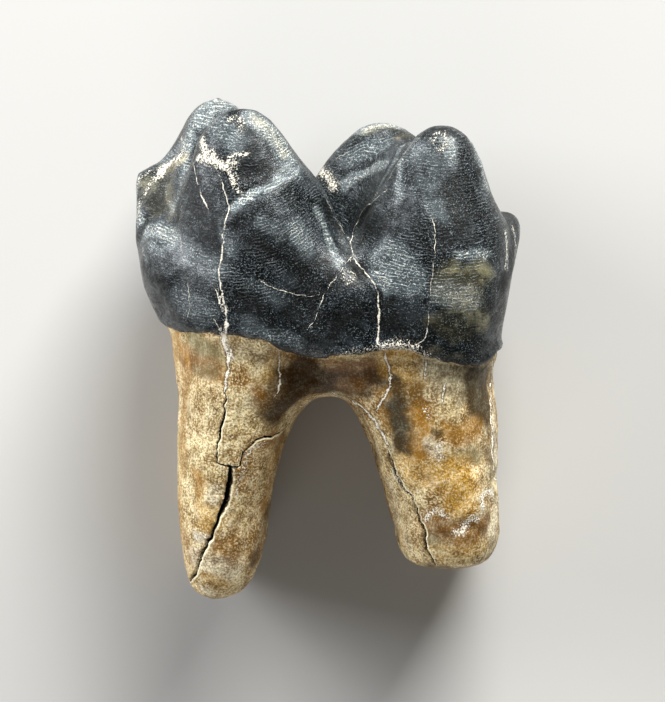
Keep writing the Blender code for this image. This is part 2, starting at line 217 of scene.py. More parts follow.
def neighbour_mean(mesh, values):
    """For each vertex, the mean of the values of the vertices it shares an edge with."""
    ends = np.empty(len(mesh.edges) * 2, np.int32)
    mesh.edges.foreach_get("vertices", ends)
    first, second = ends.reshape(-1, 2).T
    total = np.zeros_like(values)
    count = np.bincount(ends, minlength=len(values))
    for axis in range(values.shape[1]):
        total[:, axis] += np.bincount(first, values[second, axis], len(values))
        total[:, axis] += np.bincount(second, values[first, axis], len(values))
    return total / count[:, None]


def ironed(mesh, points, rounds, where=1.0):
    """Smooths without shrinking: each round pulls the points in and pushes them back out."""
    for _ in range(rounds):
        for share in (PULL, -PUSH):
            points = points + share * where * (neighbour_mean(mesh, points) - points)
    return points


def bake_modifiers(piece):
    """Turns the piece's modifiers into plain mesh."""
    graph = bpy.context.evaluated_depsgraph_get()
    mesh = bpy.data.meshes.new_from_object(piece.evaluated_get(graph))
    piece.modifiers.clear()
    piece.data = mesh
    return mesh


# %% The skin
VOXEL = 0.5 * MM
tooth = bpy.data.objects.new("tapir_tooth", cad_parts["tooth"].data.copy())
bpy.context.scene.collection.objects.link(tooth)
tooth.data.materials.clear()
remesh = tooth.modifiers.new("Skin", "REMESH")
remesh.mode = "VOXEL"
remesh.voxel_size = VOXEL
skin = bake_modifiers(tooth)
write_points(skin, ironed(skin, read(skin, "co") / MM, rounds=9))
finer = tooth.modifiers.new("Finer", "SUBSURF")
finer.levels = finer.render_levels = 1
skin = bake_modifiers(tooth)
print("skin faces:", len(skin.polygons))

# %% [markdown]
# ## Drawing on the tooth
#
# Cracks, grooves, ridges and stains all follow lines that can be read off the photo. A line is
# a few pixel positions. A ray from the camera through each pixel finds the place on the skin,
# so every line lies on the surface, from whatever side it is later seen. The sides that the
# photo hides are drawn on in the same way, with level rays and positions in millimetres. A line
# drawn by hand wanders a little, and here noise with a fixed seed does that.

# %% Rays onto the skin


def camera_ray(across, down):
    """From the camera through a pixel of the photo."""
    towards = Vector((across - PHOTO_WIDTH / 2, PHOTO_HEIGHT / 2 - down, 0)) * PIXEL
    return camera.location, towards - Vector((0, 0, CAMERA_HEIGHT))


SIDES = {
    # where a ray starts and points, and how far apart the rays of a line are
    "tongue": (camera_ray, 1.5),
    "cheek": (lambda x, y: (Vector((x, y, -20)) * MM, Vector((0, 0, 1))), 0.15),
    "front": (lambda z, y: (Vector((-40, y, z)) * MM, Vector((1, 0, 0))), 0.15),
    "back": (lambda z, y: (Vector((40, y, z)) * MM, Vector((-1, 0, 0))), 0.15),
    "top": (lambda x, z: (Vector((x, 40, z)) * MM, Vector((0, -1, 0))), 0.15),
}
NOISE_SEED = 5  # without one, noise_vector would differ from run to run
noise.seed_set(NOISE_SEED)


def smooth_line(corners, step):
    """Spots about a step apart on a smooth curve through the corners."""
    corners = np.array(corners, float)
    padded = np.vstack([2 * corners[0] - corners[1], corners, 2 * corners[-1] - corners[-2]])
    spots = []
    for before, start, end, after in zip(padded, padded[1:], padded[2:], padded[3:]):
        count = max(1, round(float(np.linalg.norm(end - start)) / step))
        for t in np.arange(count) / count:
            bend = 2 * before - 5 * start + 4 * end - after
            twist = 3 * start - before - 3 * end + after
            spots.append(start + ((end - before) * t + bend * t**2 + twist * t**3) / 2)
    return np.array(spots + [corners[-1]])


def drawn(side, corners, wander=0.0):
    """Places in millimetres and normals on the skin, along a smooth line through the corners.

    The line strays from its course by up to about wander, in the units of the corners."""
    ray, step = SIDES[side]
    places, normals = [], []
    for spot in smooth_line(corners, step):
        place = Vector((*spot, 0)) / step
        bends, kinks = noise.noise_vector(place / 4), noise.noise_vector(place / 1.6)
        stray = (bends + 0.6 * kinks) * wander
        hit, normal, _, _ = skin_tree.ray_cast(*ray(spot[0] + stray.x, spot[1] + stray.y))
        if hit:
            places.append(hit / MM)
            normals.append(normal)
    if not places:
        print("a line misses the tooth:", side, corners)
    return np.array(places), np.array(normals)


# %% Distance to a line
LONGEST_STEP = 0.9  # mm


def measured_from(points, line, reach):
    """How far each point is from the line, how far along it, and to which side of it.

    Points beyond the reach get the reach as their distance. The side is positive on the left
    of the line, for someone on the surface who looks along it. Where a line jumps from one
    cusp to another behind it, the gap is left open."""
    places, normals = line
    distance = np.full(len(points), float(reach))
    along = np.zeros(len(points))
    side = np.zeros(len(points))
    if len(places) == 0:
        return distance, along, side
    low, high = places.min(axis=0) - reach, places.max(axis=0) + reach
    near = np.flatnonzero(((points > low) & (points < high)).all(axis=1))
    close, best = points[near], distance[near]
    steps = np.linalg.norm(np.diff(places, axis=0), axis=1)
    travelled = np.concatenate([[0.0], np.cumsum(steps)]) / max(steps.sum(), 1e-9)
    for i, (start, end) in enumerate(zip(places, places[1:])):
        if steps[i] > LONGEST_STEP:
            continue
        step = end - start
        offset = close - start
        share = np.clip(offset @ step / max(step @ step, 1e-12), 0, 1)
        away = offset - share[:, None] * step
        gap = np.linalg.norm(away, axis=1)
        better = gap < best
        left = np.cross(normals[i], step)
        best[better] = gap[better]
        along[near[better]] = (travelled[i] + share * (travelled[i + 1] - travelled[i]))[better]
        side[near[better]] = (away @ (left / max(np.linalg.norm(left), 1e-9)))[better]
    distance[near] = best
    return distance, along, side


def faded_ends(along, share=0.2):
    """1 along the middle of a line, down to 0 at both of its ends."""
    return np.clip(np.minimum(along, 1 - along) / share, 0, 1) ** 0.5


# %% [markdown]
# ## Relief of the crown
#
# The CAD shape has the cusps, valley and roots, but the real crown is livelier: a shoulder
# flares out across the front cusp, rims are crisp, and hollows lie beside them. Each is a
# stroke, as in sculpting: a line, how wide the brush is, and how far it lifts or presses. There
# are many of them, so they are written as rows of text, which one function reads.

# %% Strokes


def eased(values, low, high):
    """0 below low, 1 above high, and a smooth rise between."""
    share = np.clip((values - low) / (high - low), 0, 1)
    return share * share * (3 - 2 * share)


def stroke(points, normals, corners, reach, lift, fade):
    """Lifts the skin along the line, or presses it in when the lift is negative."""
    distance, along, _ = measured_from(points, drawn("tongue", corners), reach)
    brush = (1 - (distance / reach) ** 2) ** 2
    return points + normals * (lift * brush * faded_ends(along, fade))[:, None]


def shoulder(points, normals, corners, rise, width, run):
    """A step: the skin on the right of the line is lifted, and slopes back over the run."""
    distance, along, left = measured_from(points, drawn("tongue", corners), run)
    step = eased(0.5 - left / width, 0, 1)
    slope_back = np.clip(1 - distance / run, 0, 1) ** 1.5
    return points + normals * (rise * step * slope_back * faded_ends(along))[:, None]


# %% Broad relief on the tongue side


def rows_of(text):
    """The rows of a table: words and numbers, a colon, and the corners of a line as pairs."""
    rows = []
    for line in text.strip().splitlines():
        values, _, corners = line.partition("#")[0].partition(":")
        values = [float(word) if word[-1].isdigit() else word for word in values.split()]
        rows.append((*values, [[float(n) for n in pair.split(",")] for pair in corners.split()]))
    return rows


# reach in mm, lift in mm: corners in the photo
BROAD_RELIEF = rows_of("""
2.6 0.38: 256,212 285,236 314,260 338,276  # swelling below the shoulder
0.9 -0.22: 324,200 336,230 347,254  # trough beside the valley
0.6 -0.28: 353,256 362,270 372,282 378,296 379,318 379,345
0.7 0.12: 404,160 400,178 396,200  # crest of the back cusp
0.9 -0.15: 394,172 386,190 376,208
1.4 0.2: 396,216 386,238 382,262
1.0 -0.12: 356,266 366,280  # flat facet below the valley's mouth
1.5 -0.25: 150,200 160,212  # hollow on the front shelf
1.1 -0.14: 243,165 250,182  # hollow above the shoulder
1.6 -0.12: 262,425 285,425
0.9 -0.16: 362,420 378,460 392,505 404,545  # flank of the back root
2.0 0.12: 470,470 470,520
""")
# the same, for the flanks that give the roots and the neck their outlines
OUTLINES = rows_of("""
2.4 0.42: 378,455 388,490 397,525 405,546 424,558
2.2 0.45: 489,385 490,415 491,440 493,475
2.2 0.32: 182,400 182,450 184,510 189,558 200,584
2.6 0.42: 276,450 266,495 258,540 249,572 226,590
2.2 -0.3: 154,285 160,306 168,324
""")
SHOULDER = [(220, 226), (229, 216), (242, 206), (256, 197), (272, 187), (288, 174), (296, 160)]


def skin_now():
    """A search tree of the skin as it is, for the next lines to be drawn on."""
    return BVHTree.FromObject(tooth, bpy.context.evaluated_depsgraph_get())


skin_tree = skin_now()
points, normals = read(skin, "co") / MM, read(skin, "normal")
for reach, lift, corners in BROAD_RELIEF:
    points = stroke(points, normals, corners, reach, lift, fade=0.2)
for reach, lift, corners in OUTLINES:
    points = stroke(points, normals, corners, reach, lift, fade=0.5)
points = shoulder(points, normals, SHOULDER, rise=0.6, width=0.8, run=4.5)
points = ironed(skin, points, rounds=3)
write_points(skin, points)
skin_tree = skin_now()
print("broad strokes:", len(BROAD_RELIEF) + len(OUTLINES))

# %% [markdown]
# ## The tooth's own frame
#
# Enamel is laid down in layers, from the cusps towards the roots, and their edges show as fine
# lines round the crown. The lines follow the tooth's own upright axis, which leans back a
# little now that it lies down. The enamel's lower edge is measured along that axis too. On the
# tongue side it follows a line read off the photo; the rest of the way round is a guess.

# %% Upright heights
LEAN = math.radians(7.735)  # of the tooth's axis as it lies; the origin is a point on it, in mm
AXIS_ORIGIN = np.array([0.2, 0.04, 7.77])


def upright(points):
    """The points in the frame of the tooth as it stands in the jaw, in millimetres."""
    x, y, z = (points - AXIS_ORIGIN).T
    cos, sin = math.cos(LEAN), math.sin(LEAN)
    return np.stack([x, cos * y + sin * z, cos * z - sin * y], axis=1)


def swells(points, size, octaves=1):
    """Smooth noise between about -1 and 1, with swellings of the given size in mm."""
    return np.array([noise.fractal(Vector(p), 1.0, 2.0, octaves) for p in points / size])


# %% Height over the enamel's edge
TONGUE_EDGE = [
    (169, 328), (184, 332), (205, 333), (223, 335), (242, 337), (265, 342), (284, 351),
    (313, 357), (331, 356), (361, 354), (386, 351), (406, 350), (423, 356), (439, 361),
    (456, 364), (477, 366), (489, 360), (499, 348),
]
CHEEK_EDGE = [
    (-11.5, 1.7), (-8.5, 1.9), (-6.0, 1.6), (-1.5, 0.5), (2.0, 0.5), (4.8, 0.8), (8.8, -0.3),
    (11.5, 0.1),
]
EDGE_RAGGED = 0.09  # mm
EDGE_TURN = (1.5, 4.5)  # where the cheek side's edge passes into the tongue side's, in mm

edge_places = upright(drawn("tongue", TONGUE_EDGE)[0])
edge_places = edge_places[np.argsort(edge_places[:, 0])]


def over_enamel_edge(points):
    """How far each point is above the enamel's lower edge, along the tooth's axis."""
    x, y, z = upright(points).T
    tongue = np.interp(x, edge_places[:, 0], edge_places[:, 1])
    cheek = np.interp(x, *np.array(CHEEK_EDGE).T)
    edge = cheek + (tongue - cheek) * eased(z, *EDGE_TURN)
    return y - edge + EDGE_RAGGED * swells(points, 0.7, 3)


# %% [markdown]
# ## Cracks, veins and rims
#
# Mineral veins filled the hairline cracks of the crown, and the roots have open cracks. Both
# are lines with a half width. Rims are lines too: the crisp crests of the cusps. Corners are in
# pixels of the photo on the tongue side and in millimetres on the hidden sides.

# %% Lines on the tooth
# side, half width in mm, depth in mm: corners
CRACKS = rows_of("""
tongue 0.04 0.2: 226,390 225,400 224,412
tongue 0.075 0.35: 225,408 223,421 220,432 218,444
tongue 0.045 0.25: 219,438 216,450 217,463
tongue 0.065 0.4: 298,412 288,426 275,435 262,438 254,443 242,455
tongue 0.05 0.3: 216,462 224,466 231,467 239,467 242,459 243,451
tongue 0.17 0.9: 231,466 230,479 227,494 224,508 218,520
tongue 0.1 0.7: 225,506 220,517 214,530 207,543 201,557 196,570 190,583
tongue 0.11 0.5: 388,450 391,459 393,465 398,477 404,489 412,496
tongue 0.085 0.6: 412,496 415,505 419,517 423,529 425,544 429,553 435,565
cheek 0.09 0.4: -5.6,-3.0 -5.2,-6.5 -6.1,-10.0 -5.5,-14.0
cheek 0.08 0.35: 7.4,-5.5 7.0,-8.0 7.8,-11.0 7.2,-13.5
front 0.07 0.3: 9.0,-3.5 8.4,-7.0 9.2,-11.0
back 0.08 0.35: 7.8,-4.0 8.6,-8.0 8.0,-12.0
""")
# side, half width in mm: corners
# the last three rows on the tongue side are no veins but painted highlights along the crest of
# the back cusp and the front cusp's edge at the valley
VEINS_AND_CREST_GLINTS = rows_of("""
tongue 0.026: 218,172 222,181 226,195 230,208
tongue 0.046: 230,208 225,225 223,241 221,257 219,272 222,291
tongue 0.085: 222,291 225,307 227,326 224,339 226,352
tongue 0.08: 226,350 228,364 226,378 225,392
tongue 0.031: 216,289 219,300 223,314
tongue 0.037: 215,322 220,330 224,343
tongue 0.02: 194,163 196,172 198,184
tongue 0.043: 201,194 204,201 208,208
tongue 0.012: 193,164 187,180 182,192 181,206 179,228 181,246 184,266
tongue 0.01: 184,266 188,287 189,307 187,322
tongue 0.011: 258,277 268,285 283,291 300,295 315,296 322,295
tongue 0.02: 353,256 344,267 337,276 328,288 323,296 319,310
tongue 0.011: 319,310 314,320 308,330
tongue 0.034: 354,258 366,273 374,284 378,293
tongue 0.05: 378,293 379,314 379,333 378,344 383,352
tongue 0.065: 383,350 388,366 390,380 388,392 381,402 375,412
tongue 0.012: 425,207 434,225 435,252 432,271 431,293 428,314
tongue 0.018: 428,314 427,334 416,345 406,349
tongue 0.05: 424,352 426,364 424,378
tongue 0.06: 446,384 444,392 442,402
tongue 0.1: 333,393 345,397 358,405 370,415 379,427 386,441 391,451
tongue 0.05: 295,412 306,402 318,397 333,394
tongue 0.055: 493,356 491,380 491,410 492,440 494,468 497,495 497,515
tongue 0.05: 280,352 279,366 280,380 277,396
tongue 0.022: 326,167 337,158 350,151
tongue 0.035: 386,191 375,201 364,210 356,226 351,243 353,255
tongue 0.02: 419,139 407,151 397,165 389,181
tongue 0.018: 323,194 336,219 348,240
cheek 0.05: -5.6,10.0 -5.1,6.0 -5.7,2.5 -5.2,-2.0
cheek 0.037: 6.2,9.0 6.7,5.0 6.0,1.0 6.3,-2.5
cheek 0.028: -9.0,6.0 -6.5,5.2 -3.5,6.1 -1.0,5.0
front 0.043: 9.4,9.0 8.6,5.0 9.3,1.0 8.7,-2.0
front 0.028: 6.0,7.0 7.4,4.5 8.8,4.2
back 0.037: 8.6,8.0 8.0,4.0 8.7,0.5 8.3,-2.5
top 0.031: -5.8,12.5 -5.2,9.0 -5.9,5.0
top 0.031: 7.0,12.0 6.4,8.5 7.1,5.0
""")
# reach in mm, lift in mm: corners in the photo
RIMS = rows_of("""
0.4 0.07: 423,137 410,148 399,163 389,180 380,197 367,208 357,224 353,243
0.4 0.06: 290,156 298,166 310,180 320,192 332,216 344,238 349,251
0.45 0.1: 184,133 177,155 169,176 167,196 176,218
0.4 0.06: 202,143 198,160 192,170 187,184 181,206 179,228
0.5 0.1: 176,219 160,222 147,228
0.35 0.05: 219,121 231,112 245,111 257,116
0.4 0.08: 331,397 343,401 356,408 368,418 377,430 384,444 389,453
""")
WANDER = {"tongue": 1.4, "cheek": 0.12, "front": 0.12, "back": 0.12, "top": 0.12}
LINE_REACH = 0.5  # mm
WIDEST = 20.0  # half widths, beyond which a line is not noticed
FAR = 8.0  # half widths, beyond which the materials see no difference


def drawn_rows(table):
    """The rows of a table, each with its corners drawn as a line, and the line put first."""
    return [
        (drawn(side, corners, WANDER[side]), *values) for side, *values, corners in table
    ]


def tapered(half_width, along):
    """A line's half width, which shrinks to about a third at its ends."""
    return half_width * (0.35 + 0.65 * faded_ends(along, 0.25))


def nearest_line(points, rows):
    """The distance in half widths to the nearest line, signed by side, and how near it is.

    The nearness is 1 on a line and 0 from LINE_REACH on. The signed distance runs evenly
    through zero, so that a line thinner than the mesh's squares still comes out sharp."""
    signed = np.full(len(points), WIDEST)
    nearness = np.zeros(len(points))
    for line, half_width, *_ in rows:
        distance, along, left = measured_from(points, line, LINE_REACH)
        ratio = distance / np.maximum(tapered(half_width, along), 1e-6)
        better = (distance < LINE_REACH) & (ratio < np.abs(signed))
        signed[better] = (np.where(left < 0, -1, 1) * ratio)[better]
        nearness[better] = 1 - distance[better] / LINE_REACH
    return np.clip(signed, -FAR, FAR), nearness


cracks, veins_and_glints = drawn_rows(CRACKS), drawn_rows(VEINS_AND_CREST_GLINTS)
rims = [(drawn("tongue", corners), *values) for *values, corners in RIMS]
print("cracks:", len(cracks), "veins:", len(veins_and_glints), "rims:", len(rims))

# %% [markdown]
# ## More squares where the detail is
#
# A crack a tenth of a millimetre wide needs much smaller squares than a smooth flank. Rather
# than make the whole skin that fine, only the faces near lines are cut into four, some twice.

# %% Refining


def refined(piece, wanted):
    """Cuts the faces round the wanted vertices into four, and smooths the new vertices."""
    shape = bmesh.new()
    shape.from_mesh(piece.data)
    shape.verts.ensure_lookup_table()
    faces = {face for i in np.flatnonzero(wanted) for face in shape.verts[i].link_faces}
    edges = {edge for face in faces for edge in face.edges}
    bmesh.ops.subdivide_edges(shape, edges=list(edges), cuts=1, use_grid_fill=True)
    shape.to_mesh(piece.data)
    shape.free()
    mesh = piece.data
    new = np.zeros(len(mesh.vertices))
    new[len(wanted) :] = 1.0
    around = new + neighbour_mean(mesh, new[:, None])[:, 0]
    points = ironed(mesh, read(mesh, "co") / MM, 2, where=np.clip(around, 0, 1)[:, None])
    write_points(mesh, points)
    return points


def near_lines(points, rows, reach):
    """True for the points within reach of any of the lines."""
    near = np.zeros(len(points), bool)
    for line, *_ in rows:
        near |= measured_from(points, line, reach)[0] < reach
    return near


REFINING = [
    # the lines, how close to them, and how close to the enamel's edge, in mm
    (cracks + veins_and_glints + rims, 0.26, 0.5),
    (cracks, 0.22, 0.1),
]
for rows, line_band, edge_band in REFINING:
    wanted = near_lines(points, rows, line_band)
    wanted |= np.abs(over_enamel_edge(points)) < edge_band
    points = refined(tooth, wanted)
skin = tooth.data
print("skin faces after refining:", len(skin.polygons))

# %% [markdown]
# ## Fine relief
#
# Now the fine detail is cut in. The enamel stands proud of the root in a rounded lip, low at
# the front and thick at the back. Its surface is gently uneven, while the roots are rough with
# crusts and lengthwise fibres, as dentine and cement are. Cracks are carved last.

# %% Lip, surface and cracks
LIP = (0.16, 0.28, 0.26)  # its rise, how far above the edge it lies and its half width, in mm
NOTCH = (-0.2, -0.16, 0.16)
ENAMEL_SWELLS = 0.018  # mm, as are the next two
ROOT_LUMPS = 0.045
ROOT_FIBRES = 0.035
FIBRE_STRETCH = np.array([1, 0.12, 1])

normals = read(skin, "normal")
edge_height = over_enamel_edge(points)
is_root = eased(-edge_height, -0.02, 0.12)
lip_size = 0.35 + 0.65 * eased(upright(points)[:, 0], -9, 1)
lift = np.zeros(len(points))
for rise, centre, half_width in (LIP, NOTCH):
    lift += rise * np.exp(-(((edge_height - centre) / half_width) ** 2)) * lip_size
lift += (1 - is_root) * ENAMEL_SWELLS * swells(points, 1.6, 2)
lift += is_root * ROOT_LUMPS * (swells(points, 0.7, 3) + swells(points, 2.5))
lift += is_root * ROOT_FIBRES * swells(points * FIBRE_STRETCH, 0.45, 2)
for line, reach, rim_lift in rims:
    distance, along, _ = measured_from(points, line, reach)
    lift += rim_lift * (1 - (distance / reach) ** 2) ** 2 * faded_ends(along)

crack, crack_near = nearest_line(points, cracks)
for line, half_width, depth in cracks:
    distance, along, _ = measured_from(points, line, LINE_REACH)
    groove = np.clip(1.15 - distance / tapered(half_width, along), 0, 1) ** 0.7
    lift -= depth * faded_ends(along) * groove
points = points + normals * lift[:, None]
points[:, 2] = np.maximum(points[:, 2], 0)
write_points(skin, points)
print("lift in mm:", round(float(lift.min()), 2), "to", round(float(lift.max()), 2))

# %% [markdown]
# ## Stains, crusts, tones and painted light
#
# Long ages in wet sediment left pale crusts, iron browns and dark manganese on the tooth. They
# are painted as a painter would: a named colour, a line, how wide the brush is and how strong.
# Some strokes are light, not stain: pale ones on the enamel are partly painted highlight, dark
# ones partly painted shade, a few crusts are painted glints, and some cream, chalk and honey
# strokes lighten roots that lie in shade. The mesh holds the paint as attributes, and the
# materials add the fine grain. The brush is shaken by noise so that no edge is even, and the
# hidden sides start from the same mixture of colours, in broad drifting patches.

# %% Paint
STAIN_COLOURS = {
    # screen colour, and how coarse and grainy its crust is
    "chalk": ("#f2e8cc", 0.9),
    "cream": ("#e8cd8c", 1.0),
    "tan": ("#c89c52", 1.0),
    "honey": ("#e0ab3c", 0.6),
    "amber": ("#ad7a20", 0.22),
    "rust": ("#835312", 0.2),
    "umber": ("#311c03", 0.08),
    "charcoal": ("#2f2a1c", 0.08),
    "olive": ("#8a835f", 0.15),
    "moss": ("#342b10", 0.09),
    "ash": ("#aea382", 0.6),
}
# colour, reach in mm, strength: corners in the photo
# some rows are partly painted light over real stains: the honey and cream just below the back of
# the enamel's lip lighten the lip's cast shadow, and the cream, chalk and honey on the back
# root's front flank and at both root tips lighten where those surfaces turn from the light
STAINS = rows_of("""
cream 2.4 0.5: 203,385 200,430 198,480 194,530 196,565
tan 2.0 0.9: 252,455 246,490 238,530 228,570
cream 0.8 0.6: 244,500 240,520
cream 1.1 0.7: 240,400 236,425 232,445
olive 1.1 0.95: 196,343 206,352 216,355
rust 1.1 1.0: 184,358 196,366 211,371
olive 0.7 0.6: 198,370 211,372
amber 0.6 0.9: 175,330 180,345 188,364
cream 1.5 0.8: 240,352 256,356 264,372
ash 1.0 0.6: 236,352 256,350 268,362
honey 0.8 0.8: 276,360 271,374
cream 0.7 0.7: 262,348 284,358
ash 0.6 0.8: 250,402 258,408
rust 1.0 0.6: 276,352 287,364 282,380
umber 1.7 1.0: 304,370 325,380 350,377 378,370
umber 1.5 1.0: 302,378 290,398 276,414
umber 0.9 0.75: 282,378 272,396 266,410
umber 0.8 0.9: 300,393 320,390 345,389 366,394
rust 0.7 0.7: 332,362 350,366 368,362
rust 0.7 0.5: 340,386 360,386
rust 0.7 0.7: 268,440 282,438
rust 0.7 0.5: 250,376 258,392 256,404
rust 0.5 0.5: 252,388 262,394
amber 0.5 0.6: 200,474 205,486
honey 0.8 0.7: 200,506 212,512 206,526
chalk 0.6 0.7: 216,490 212,500
chalk 0.5 0.8: 196,536 208,540
amber 0.6 0.8: 195,472 199,492
rust 0.6 0.8: 186,536 189,550 192,564
rust 0.5 0.5: 236,522 232,540
chalk 0.5 0.9: 202,588 212,594
cream 1.1 0.9: 208,580 222,584 236,582
chalk 1.2 0.7: 200,560 212,570 232,572
rust 0.8 0.6: 212,541 222,549 234,558
honey 0.7 0.8: 208,578 224,584
tan 0.9 0.9: 364,425 380,480
cream 1.5 1.0: 386,466 393,500 402,532 412,550
honey 0.9 0.45: 385,474 392,502 403,536
chalk 0.7 0.5: 389,482 398,518 408,544
honey 0.5 0.6: 398,525 404,545
cream 0.5 0.7: 340,402 360,416 372,440
amber 0.9 0.8: 398,372 410,374 416,380
honey 1.5 1.0: 396,362 408,366 420,369
cream 0.7 0.4: 402,364 412,367
ash 1.6 1.0: 434,367 450,373 466,384
ash 1.0 0.8: 436,386 454,398
moss 1.2 1.0: 471,378 476,412
moss 1.1 1.0: 483,374 484,416
umber 0.5 0.8: 392,378 400,384
charcoal 0.75 0.9: 394,384 397,398
charcoal 1.3 1.0: 398,410 402,430 404,446
umber 0.8 0.7: 413,386 418,404
umber 0.4 0.7: 485,452 491,463
amber 1.0 1.0: 420,412 424,434 420,452
amber 0.9 0.8: 450,428 476,430
rust 0.5 0.5: 452,440 476,442
charcoal 0.35 0.9: 436,433 440,438
charcoal 0.28 0.9: 390,458 398,476 408,490
cream 0.7 0.8: 446,408 456,418
chalk 0.5 0.7: 428,442 436,456
olive 0.8 0.7: 450,456 476,456
honey 1.6 1.0: 446,474 462,482 462,500
honey 1.0 0.8: 404,466 418,478 430,470
rust 0.5 0.6: 424,478 432,484
rust 1.1 0.7: 434,520 456,532 480,530
chalk 0.8 0.8: 484,545 493,530 496,512
umber 0.5 0.7: 470,524 484,534
umber 0.4 0.6: 442,534 450,536
cream 1.0 1.0: 436,556 462,560 484,552
honey 0.8 0.5: 440,552 462,557 484,546
olive 0.5 0.5: 432,540 440,552
umber 0.35 0.7: 487,395 489,440
chalk 0.4 1.0: 493,368 494,400 495,440 498,480 499,512
olive 1.2 0.9: 450,278 464,283 480,276
olive 1.1 0.55: 456,304 470,310 480,322
ash 1.1 0.7: 446,292 460,297 472,292
moss 0.8 0.6: 436,322 452,331 468,331
moss 1.1 0.6: 150,194 162,208
olive 0.6 0.6: 144,182 156,180
ash 0.5 0.35: 366,131 380,127 396,127 408,131
tan 0.4 0.4: 398,138 408,135
cream 0.7 0.7: 183,158 174,165 164,170
ash 0.8 0.3: 167,174 170,194 175,214
ash 0.6 0.6: 256,120 272,134 284,153
""")
# reach in mm, strength: corners in the photo, as in the next two
# the rings on the two near cusp tips and at the valley's mouth, and the streaks on the back
# edge, are painted highlights, not crust
CRUSTS_AND_GLINTS = rows_of("""
0.42 1.0: 202,140 204,150 206,156
0.42 1.0: 198,157 208,160 216,163 227,168
0.34 1.0: 206,148 213,156 222,167
0.2 1.0: 226,165 232,156 238,153 247,155
0.26 1.0: 229,160 236,165
0.3 1.0: 228,169 234,183
0.14 0.8: 236,188 243,195
0.3 0.6: 231,119 237,117 241,122 241,130
0.18 0.8: 181,138 184,147 180,157
0.5 1.0: 180,158 172,163 164,168 159,176
0.26 0.7: 160,174 150,184 144,196
0.2 0.6: 150,172 140,178 136,190
0.2 0.5: 166,186 170,205
0.2 0.6: 140,200 139,216
0.45 1.0: 320,170 327,176 334,187
0.35 0.55: 365,130 377,126 392,125 408,129
0.3 0.9: 340,353 358,351 374,348 388,347
0.55 1.0: 384,348 397,346 405,347 414,348
0.26 0.85: 414,349 426,354 440,359
0.36 0.9: 222,332 226,344 230,356
0.25 0.55: 433,141 436,133 443,133 446,141 444,150 438,149
0.18 0.45: 343,277 346,272 352,272 354,278 350,283 344,281
0.3 0.9: 426,520 430,513 438,511 446,517
0.32 0.95: 455,532 462,533 465,524 471,518 478,518
0.34 1.0: 483,508 481,499 486,492 493,494
0.16 0.85: 506,232 507,250 505,268
0.15 0.8: 512,226 516,242 515,258
0.2 0.8: 424,408 428,415
0.3 0.8: 438,444 440,458
0.25 0.7: 392,470 402,486
0.4 0.6: 196,538 206,536
0.2 0.6: 264,443 250,452 243,470 236,495
""")
# weathered and hazy enamel, and painted highlights where slopes catch the light
PALE_AND_HIGHLIGHT_STROKES = rows_of("""
1.0 1.0: 254,119 274,133 286,154
0.8 0.5: 280,154 292,172
1.0 0.5: 216,124 228,134 236,142
0.45 1.0: 234,208 243,202 256,194 270,186 284,177
1.1 0.8: 198,122 208,107 224,102 242,108
0.6 0.8: 184,160 188,140 196,122
0.9 0.5: 168,160 184,142
0.5 0.6: 186,166 180,190 174,208
0.45 0.9: 138,180 137,200 140,222
0.8 1.0: 148,232 160,230 174,240
0.5 0.5: 150,246 160,252
0.3 0.7: 142,252 146,262
1.2 0.5: 188,252 202,262 214,270
0.6 0.4: 224,236 230,250
0.7 0.5: 295,225 303,240 308,252
0.6 0.35: 262,225 280,232
0.6 0.2: 252,284 266,290 280,303
1.2 0.35: 180,300 205,312
0.45 0.7: 316,210 328,236 340,264
0.7 0.3: 250,325 275,336 300,346
0.55 0.8: 345,184 364,173 386,164
0.8 0.4: 350,158 366,150 384,146
0.6 0.9: 360,130 376,125 396,126 412,132
0.3 0.7: 402,146 388,172 377,194
0.45 0.7: 399,163 397,180 400,198
1.1 0.35: 412,150 428,156 440,166
0.5 0.8: 449,140 451,160
0.6 0.7: 474,146 482,166 487,186
0.5 0.3: 418,180 430,190
0.6 0.4: 430,206 444,216
1.4 0.55: 386,256 400,268 412,282
0.5 0.9: 372,276 384,282 390,290
0.4 0.9: 461,255 472,253 485,256
1.0 0.6: 442,294 458,298 470,300
0.35 0.5: 429,172 435,186
0.35 0.5: 425,200 432,204 440,203 442,214 434,217
0.25 1.0: 506,232 508,250 507,268
0.25 0.9: 515,236 515,262
""")
# enamel that is blackest, and painted shade and dark reflection on slopes and rims that face
# away from the lights
DARK_AND_SHADE_STROKES = rows_of("""
0.5 0.8: 246,122 248,136 251,150
0.9 1.0: 246,150 252,168 262,168
0.9 0.8: 238,220 252,234 268,248
0.7 0.9: 284,236 290,252 300,268 318,292
0.9 0.7: 246,300 256,312 266,318
1.4 0.6: 290,300 310,320 330,335
1.0 0.6: 142,266 156,282 166,292
0.8 0.7: 144,194 158,206
0.25 1.0: 219,119 230,111 245,110 257,113
0.25 1.0: 423,135 431,129 446,129 459,136
0.4 1.0: 412,136 398,152 388,172 380,190 372,206
0.9 0.7: 362,214 372,224 384,232
0.6 0.8: 356,268 364,282
0.45 0.9: 325,204 338,236
0.9 0.5: 452,170 464,184 470,205
0.8 0.7: 442,226 456,232 470,238
1.4 0.6: 386,304 400,320 418,334
1.0 0.6: 352,306 346,330
1.2 0.8: 194,192 206,222 212,250
0.8 0.9: 312,256 326,270 338,282
1.2 0.4: 420,226 440,246
1.6 0.9: 436,172 446,198 454,226
1.0 0.5: 404,212 412,236
1.2 1.0: 504,214 513,228 513,255 506,280
0.8 0.5: 194,226 206,244
""")


def brush(points, corners, reach):
    """1 up to nearly half the reach from the line, and down to 0 at the reach."""
    distance = measured_from(points, drawn("tongue", corners), reach)[0]
    return np.clip(1.8 * (1 - distance / reach), 0, 1)


